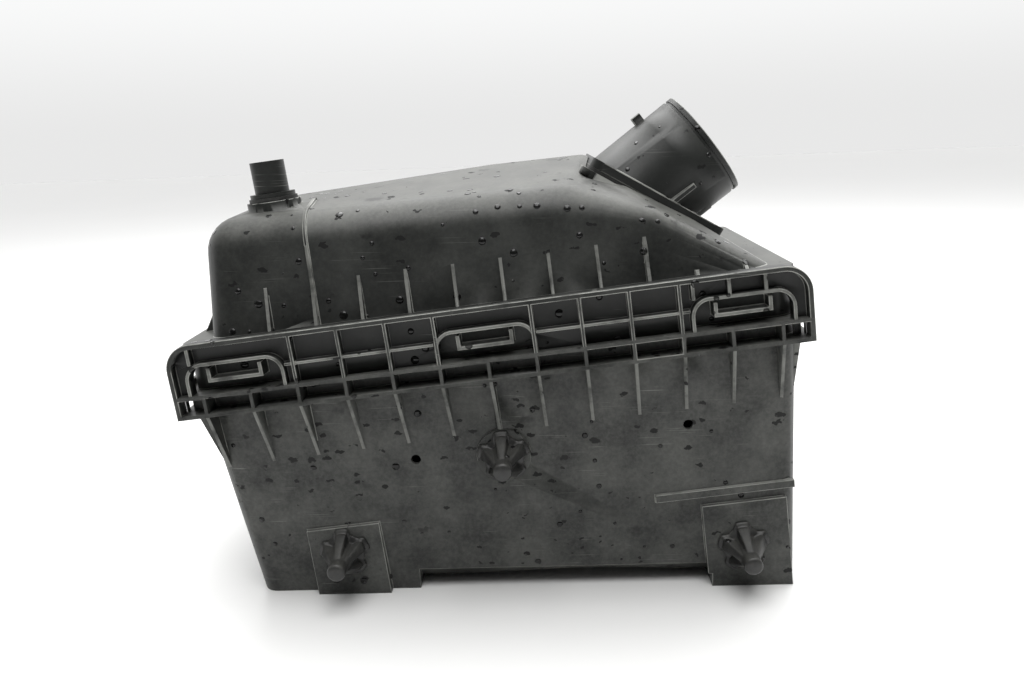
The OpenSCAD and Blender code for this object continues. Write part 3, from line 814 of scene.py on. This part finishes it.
class Repeater:
    """A Geometry Nodes tree that sets copies of one part on marked points."""

    def __init__(self) -> None:
        """Builds the tree once."""
        group = bpy.data.node_groups.new("repeat_on_points", "GeometryNodeTree")
        face = group.interface
        face.new_socket(name="Points", in_out="INPUT", socket_type="NodeSocketGeometry")
        self.part = face.new_socket(name="Part", in_out="INPUT", socket_type="NodeSocketObject").identifier
        self.size = face.new_socket(name="Size", in_out="INPUT", socket_type="NodeSocketFloat").identifier
        finish = face.new_socket(name="Finish", in_out="INPUT", socket_type="NodeSocketMaterial")
        self.finish = finish.identifier
        face.new_socket(name="Copies", in_out="OUTPUT", socket_type="NodeSocketGeometry")
        tree = Tree(group)
        given, out = group.nodes.new("NodeGroupInput"), group.nodes.new("NodeGroupOutput")
        part = tree.node("GeometryNodeObjectInfo", transform_space="ORIGINAL")
        turn = tree.node("GeometryNodeInputNamedAttribute", data_type="FLOAT_VECTOR")
        turn.inputs["Name"].default_value = "turn"
        copies = tree.node("GeometryNodeInstanceOnPoints")
        real = tree.node("GeometryNodeRealizeInstances")
        dressed = tree.node("GeometryNodeSetMaterial")
        tree.link(given.outputs["Part"], part.inputs["Object"])
        tree.link(given.outputs["Points"], copies.inputs["Points"])
        tree.link(part.outputs["Geometry"], copies.inputs["Instance"])
        tree.link(turn.outputs["Attribute"], copies.inputs["Rotation"])
        tree.link(given.outputs["Size"], copies.inputs["Scale"])
        tree.link(copies.outputs["Instances"], real.inputs["Geometry"])
        tree.link(real.outputs["Geometry"], dressed.inputs["Geometry"])
        tree.link(given.outputs["Finish"], dressed.inputs["Material"])
        tree.link(dressed.outputs["Geometry"], out.inputs["Copies"])
        self.group = group

    def run(self, name: str, part: bpy.types.Mesh, places: Sequence[tuple[Vector, Vector]],
            material: bpy.types.Material) -> bpy.types.Object:
        """Repeats a part and turns the result into one plain piece.

        Args:
            name: the piece's name.
            part: the part's mesh, in flange millimetres about its own zero.
            places: each copy's place in flange millimetres and its turn as Euler angles.
            material: the finish of every copy.

        Returns:
            The piece, in model metres.
        """
        seed = bpy.data.meshes.new(name + "_points")
        seed.from_pydata([point for point, _ in places], [], [])
        turns = seed.attributes.new("turn", "FLOAT_VECTOR", "POINT")
        for index, (_, turn) in enumerate(places):
            turns.data[index].vector = turn
        pattern = bpy.data.objects.new(name + "_part", part)
        carrier = bpy.data.objects.new(name + "_carrier", seed)
        for helper in (pattern, carrier):
            bpy.context.scene.collection.objects.link(helper)
        modifier = carrier.modifiers.new("repeat", "NODES")
        modifier.node_group = self.group
        modifier[self.part] = pattern
        modifier[self.size] = 1.0
        modifier[self.finish] = material
        graph = bpy.context.evaluated_depsgraph_get()
        mesh = bpy.data.meshes.new_from_object(carrier.evaluated_get(graph), depsgraph=graph)
        for helper in (carrier, pattern):
            bpy.data.objects.remove(helper)
        mesh.name = name
        mesh.transform(FlangeFrame().matrix)
        for polygon in mesh.polygons:
            polygon.use_smooth = True
        mesh.set_sharp_from_angle(angle=math.radians(TURNED_CREASE))
        return add_object(name, mesh, material)


def lofted(rings: Sequence[Sequence[Vector]], name: str) -> bpy.types.Mesh:
    """Joins rings of points into a closed skin whose ends are fans.

    Args:
        rings: rings with equal counts, from the lowest to the highest, each counter-clockwise.
        name: the mesh's name.

    Returns:
        The mesh.
    """
    count = len(rings[0])
    points = [point for ring in rings for point in ring]
    faces: list[tuple[int, ...]] = []
    for level in range(len(rings) - 1):
        low, high = level * count, (level + 1) * count
        faces += [(low + k, low + (k + 1) % count, high + (k + 1) % count, high + k) for k in range(count)]
    for ring, flip in ((rings[0], True), (rings[-1], False)):
        centre = len(points)
        points.append(sum(ring, Vector()) / count)
        start = 0 if flip else (len(rings) - 1) * count
        for k in range(count):
            a, b = start + k, start + (k + 1) % count
            faces.append((b, a, centre) if flip else (a, b, centre))
    mesh = bpy.data.meshes.new(name)
    mesh.from_pydata(points, [], faces)
    return mesh


def step(value: float, low: float, high: float) -> float:
    """Smooth step from 0 at low to 1 at high."""
    part = min(max((value - low) / (high - low), 0.0), 1.0)
    return part * part * (3.0 - 2.0 * part)


@dataclass
class MountPegs:
    """Star-shaped rubber pegs that push into the vehicle's grommets. Sizes in millimetres.

    places are X, Y and Z in the flange frame. star, core and pilot are radii: across the lobes,
    between them and at the round end. foot and foot_waist are the same for the foot on the case.
    """

    places: tuple[tuple[float, float, float], ...] = (
        (-98.0, 15.2, -93.0), (0.0, 12.6, -46.0), (126.0, 15.2, -117.0))
    lobes: int = 5
    star: float = 12.4
    core: float = 7.6
    foot: float = 14.6
    foot_waist: float = 11.4
    pilot: float = 5.0
    spigot: float = 3.95
    root: float = -9.8
    fin_start: float = 4.5
    fin_end: float = 19.0
    tip: float = 26.9
    tip_round: float = 1.6
    foot_chamfer: float = 0.6
    around: int = 100
    rings: int = 66

    def _radius(self, height: float, angle: float) -> float:
        """Distance from the axis to the skin at a height and an angle."""
        if height < 0.0:
            return self.spigot
        lobe = step(0.5 + 0.5 * math.cos(self.lobes * angle), 0.1, 0.72)
        taper = min(max((height - self.fin_start) / (self.fin_end - self.fin_start), 0.0), 1.0)
        core = self.core + (self.pilot - self.core) * taper
        fin = self.star + (self.pilot - self.star) * taper
        radius = core + (fin - core) * lobe
        foot = self.foot_waist + (self.foot - self.foot_waist) * lobe
        radius += max(foot - radius, 0.0) * (1.0 - step(height, 1.4, 3.2))
        left = self.tip - height
        if left < self.tip_round:
            radius *= math.sqrt(max(1.0 - ((self.tip_round - left) / self.tip_round) ** 2, 0.02))
        if height < self.foot_chamfer:
            radius -= self.foot_chamfer - height
        return radius

    def _mesh(self) -> bpy.types.Mesh:
        """One peg that stands on its own axis."""
        heights = [self.root, -2.0, -0.01, 0.0]
        heights += [self.tip * k / self.rings for k in range(1, self.rings - 3)]
        heights += [self.tip - x for x in (0.9, 0.5, 0.22, 0.05, 0.0)]
        rings = []
        for height in sorted(set(heights)):
            ring = []
            for k in range(self.around):
                angle = 2.0 * math.pi * k / self.around
                radius = self._radius(height, angle)
                turned = angle + math.pi / 2.0
                ring.append(Vector((radius * math.cos(turned), radius * math.sin(turned), height)))
            rings.append(ring)
        return lofted(rings, "peg_part")

    def build(self, repeater: Repeater, finishes: Finishes) -> list[bpy.types.Object]:
        """Builds the three pegs as one piece.

        Args:
            repeater: the tree that sets copies on points.
            finishes: the material of each slot.

        Returns:
            The piece.
        """
        spots = [(Vector(place), Vector((math.pi / 2.0, 0.0, 0.0))) for place in self.places]
        piece = repeater.run("mount_pegs", self._mesh(), spots, finishes[Slot.PEG])
        nodes = [f"mount_peg_{side.value}" for side in Side]
        return [place(piece, Body.CASE, Slot.PEG, nodes)]


@dataclass
class SocketScrews:
    """The four socket-head screws that hold the outlet tube. Sizes in millimetres, angle in degrees."""

    centre: tuple[float, float, float] = (101.8, 100.0, 80.9)
    slope: float = 36.1328
    spots: tuple[tuple[float, float], ...] = ((38.0, 32.0), (38.0, -32.0), (-26.0, 36.0), (-26.0, -36.0))
    seat: float = -1.6
    head: float = 4.4
    head_height: float = 2.6
    shank: float = 2.5
    reach: float = 12.4
    socket: float = 2.3
    socket_depth: float = 1.6
    around: int = 36

    def _ring(self, radius: float, height: float, hexagon: bool = False) -> list[Vector]:
        """One ring of the screw's skin, round or six-sided."""
        ring = []
        for k in range(self.around):
            angle = 2.0 * math.pi * k / self.around
            side = angle % (math.pi / 3.0) - math.pi / 6.0
            reach = radius * math.cos(math.pi / 6.0) / math.cos(side) if hexagon else radius
            ring.append(Vector((reach * math.cos(angle), reach * math.sin(angle), height)))
        return ring

    def _mesh(self) -> bpy.types.Mesh:
        """One screw, with its head's seat at zero."""
        top = self.head_height
        rings = [self._ring(self.shank - 0.6, -self.reach), self._ring(self.shank, 0.6 - self.reach),
                 self._ring(self.shank, 0.0), self._ring(self.head, 0.0), self._ring(self.head, top - 0.5),
                 self._ring(self.head - 0.15, top - 0.15), self._ring(self.head - 0.5, top),
                 self._ring(self.socket + 0.25, top), self._ring(self.socket, top - 0.25, True),
                 self._ring(self.socket, top - self.socket_depth, True)]
        return lofted(rings, "screw_part")

    def build(self, repeater: Repeater, finishes: Finishes) -> list[bpy.types.Object]:
        """Builds the four screws as one piece.

        Args:
            repeater: the tree that sets copies on points.
            finishes: the material of each slot.

        Returns:
            The piece.
        """
        lean = math.radians(self.slope)
        turn = Matrix.Rotation(lean, 3, "Y")
        spots = [(Vector(self.centre) + turn @ Vector((x, y, self.seat)), Vector((0.0, lean, 0.0)))
                 for x, y in self.spots]
        piece = repeater.run("outlet_socket_screws", self._mesh(), spots, finishes[Slot.ZINC])
        return [place(piece, Body.LID, Slot.ZINC, ["outlet_screws"])]


@dataclass
class Studio:
    """Pale floor, soft lights and the camera."""

    eye: tuple[float, float, float] = (0.0293, -0.5525, 0.2582)
    target: tuple[float, float, float] = (0.0098, 0.0, 0.1272)
    roll: float = 2.26
    lens: float = 31.64
    floor_half: float = 6.0

    def build(self) -> list[bpy.types.Object]:
        """Builds the floor, the lights, the world and the camera.

        Returns:
            The objects that aren't part of the housing.
        """
        self._world()
        self._camera()
        self._light("key_light", (0.15, 0.75, 1.7), (0.0, 0.1, 0.1), 1.8, 34.0)
        self._light("table_light", (0.0, -0.7, 1.9), (0.0, -0.6, 0.0), 1.4, 26.0)
        return [self._floor()]

    def _floor(self) -> bpy.types.Object:
        """The pale floor."""
        mesh = bpy.data.meshes.new("floor")
        s = self.floor_half
        mesh.from_pydata([(-s, -s, 0.0), (s, -s, 0.0), (s, s, 0.0), (-s, s, 0.0)], [], [(0, 1, 2, 3)])
        material, tree, shader = new_material("pale_table")
        shader.inputs["Base Color"].default_value = rgba(0.9, 0.9, 0.89)
        place = tree.node("ShaderNodeTexCoord").outputs["Object"]
        tree.link(tree.math("ADD", 0.3, tree.math("MULTIPLY", tree.noise(place, 3.0), 0.08)),
                  shader.inputs["Roughness"])
        floor = add_object("floor", mesh, material)
        return floor

    def _light(self, name: str, place: Sequence[float], aim: Sequence[float], size: float,
               power: float) -> None:
        """A square soft light that looks at a point."""
        data = bpy.data.lights.new(name, "AREA")
        data.size = size
        data.energy = power
        lamp = bpy.data.objects.new(name, data)
        bpy.context.scene.collection.objects.link(lamp)
        lamp.location = place
        lamp.rotation_euler = (Vector(aim) - Vector(place)).to_track_quat("-Z", "Y").to_euler()

    def _world(self) -> None:
        """A pale room, brighter behind the housing than in front of it."""
        world = bpy.data.worlds.new("pale_room")
        world.use_nodes = True
        bpy.context.scene.world = world
        tree = Tree(world.node_tree)
        back = world.node_tree.nodes["Background"]
        parts = tree.node("ShaderNodeSeparateXYZ")
        tree.link(tree.node("ShaderNodeTexCoord").outputs["Generated"], parts.inputs[0])
        behind = tree.ramp(parts.outputs["Y"], -0.15, 0.3)
        above = tree.ramp(parts.outputs["Z"], 0.45, 0.9)
        room = tree.mix(tree.math("MAXIMUM", behind, tree.math("MULTIPLY", above, 0.6)),
                        rgba(0.03, 0.03, 0.03), rgba(1.15, 1.15, 1.15))
        seen = tree.node("ShaderNodeLightPath").outputs["Is Camera Ray"]
        # Only the camera sees this pale wall, whose painted shade darkens it towards the horizon
        high = tree.ramp(parts.outputs["Z"], 0.0, 0.16)
        wall = tree.mix(high, rgba(0.81, 0.81, 0.808), rgba(0.96, 0.965, 0.965))
        tree.link(tree.mix(seen, room, wall), back.inputs["Color"])
        bpy.context.scene.view_settings.view_transform = "Standard"

    def _camera(self) -> None:
        """The camera, a little right of the middle and looking slightly down."""
        data = bpy.data.cameras.new("camera")
        data.lens = self.lens
        data.sensor_width = 36.0
        data.clip_start = 0.01
        camera = bpy.data.objects.new("camera", data)
        bpy.context.scene.collection.objects.link(camera)
        camera.location = self.eye
        look = (Vector(self.target) - Vector(self.eye)).to_track_quat("-Z", "Y").to_matrix()
        camera.rotation_euler = (look @ Matrix.Rotation(math.radians(-self.roll), 3, "Z")).to_euler()
        bpy.context.scene.camera = camera


def make_finishes(effects: Effects) -> Finishes:
    """Builds the material of every slot."""
    return {
        Slot.CASE: MouldedPlastic("case_plastic_dusty", dust_sides=0.56, specks=0.42,
                                  patches=0.16).build(effects),
        Slot.COVER: MouldedPlastic("cover_plastic_dusty", dust_top=0.74, dust_sides=0.2, specks=0.28,
                                   drops=0.38, patches=0.36, wear_and_highlight=0.95, scratches=0.12).build(effects),
        Slot.TUBE: MouldedPlastic("tube_plastic_dusty", dust_top=0.22, dust_sides=0.05, drops=0.2,
                                  scratches=0.1).build(effects),
        Slot.NIPPLE: MouldedPlastic("nipple_plastic_clean", dust_top=0.2, dust_sides=0.1,
                                    specks=0.0).build(effects),
        Slot.RUBBER: Rubber("gasket_rubber").build(effects),
        Slot.PEG: Rubber("peg_rubber_wet", drops=0.12, roughness=0.35).build(effects),
        Slot.RIM: Rubber("filter_rim_foam", base=rgba(0.03, 0.03, 0.03), roughness=0.7).build(effects),
        Slot.ZINC: Metal("zinc_plate").build(effects),
        Slot.SPRING: Metal("spring_strip", bright=rgba(0.5, 0.51, 0.52)).build(effects),
        Slot.PIN: Metal("plain_pin", bright=rgba(0.42, 0.42, 0.43), roughness=0.35).build(effects),
        Slot.BRASS: Metal("insert_brass", bright=rgba(0.7, 0.5, 0.2),
                          dull=rgba(0.35, 0.24, 0.1)).build(effects),
        Slot.PAPER: FilterPaper("pleated_paper").build(effects),
        Slot.GLUE: FilterPaper("glue_bead", clean=rgba(0.75, 0.7, 0.55),
                               greyed=rgba(0.4, 0.37, 0.3)).build(effects),
    }


def screen_finish(effects: Effects) -> bpy.types.Material:
    """The case's plastic as it looks on the screen: water drops and painted shade inside, pale rubbing with a
    painted highlight along the ribs.
    """
    return MouldedPlastic("screen_plastic_wet_and_shaded", dust_sides=0.3, specks=0.05, patches=0.05, drops=0.3,
                          wear_and_highlight=0.95, recess=0.9).build(effects)


def main() -> None:
    """Builds every sub-assembly in order and reports its pieces."""
    logging.basicConfig(level=logging.INFO, format="%(name)s: %(message)s")
    effects = Effects()
    finishes = make_finishes(effects)
    slots = {entry["node"]: Slot(entry["material_slot"]) for entry in frame["record"]["subparts"]}
    for node, slot in slots.items():
        dress(node, finishes[slot])
    repeater = Repeater()
    made = Mouldings().build(finishes, screen_finish(effects))
    made += SocketScrews().build(repeater, finishes)
    made += MountPegs().build(repeater, finishes)
    made += SpringClips().build(finishes)
    made += Studio().build()
    for piece in made:
        log.info("%s: %d faces", piece.name, len(piece.data.polygons))


if __name__ == "__main__":
    main()
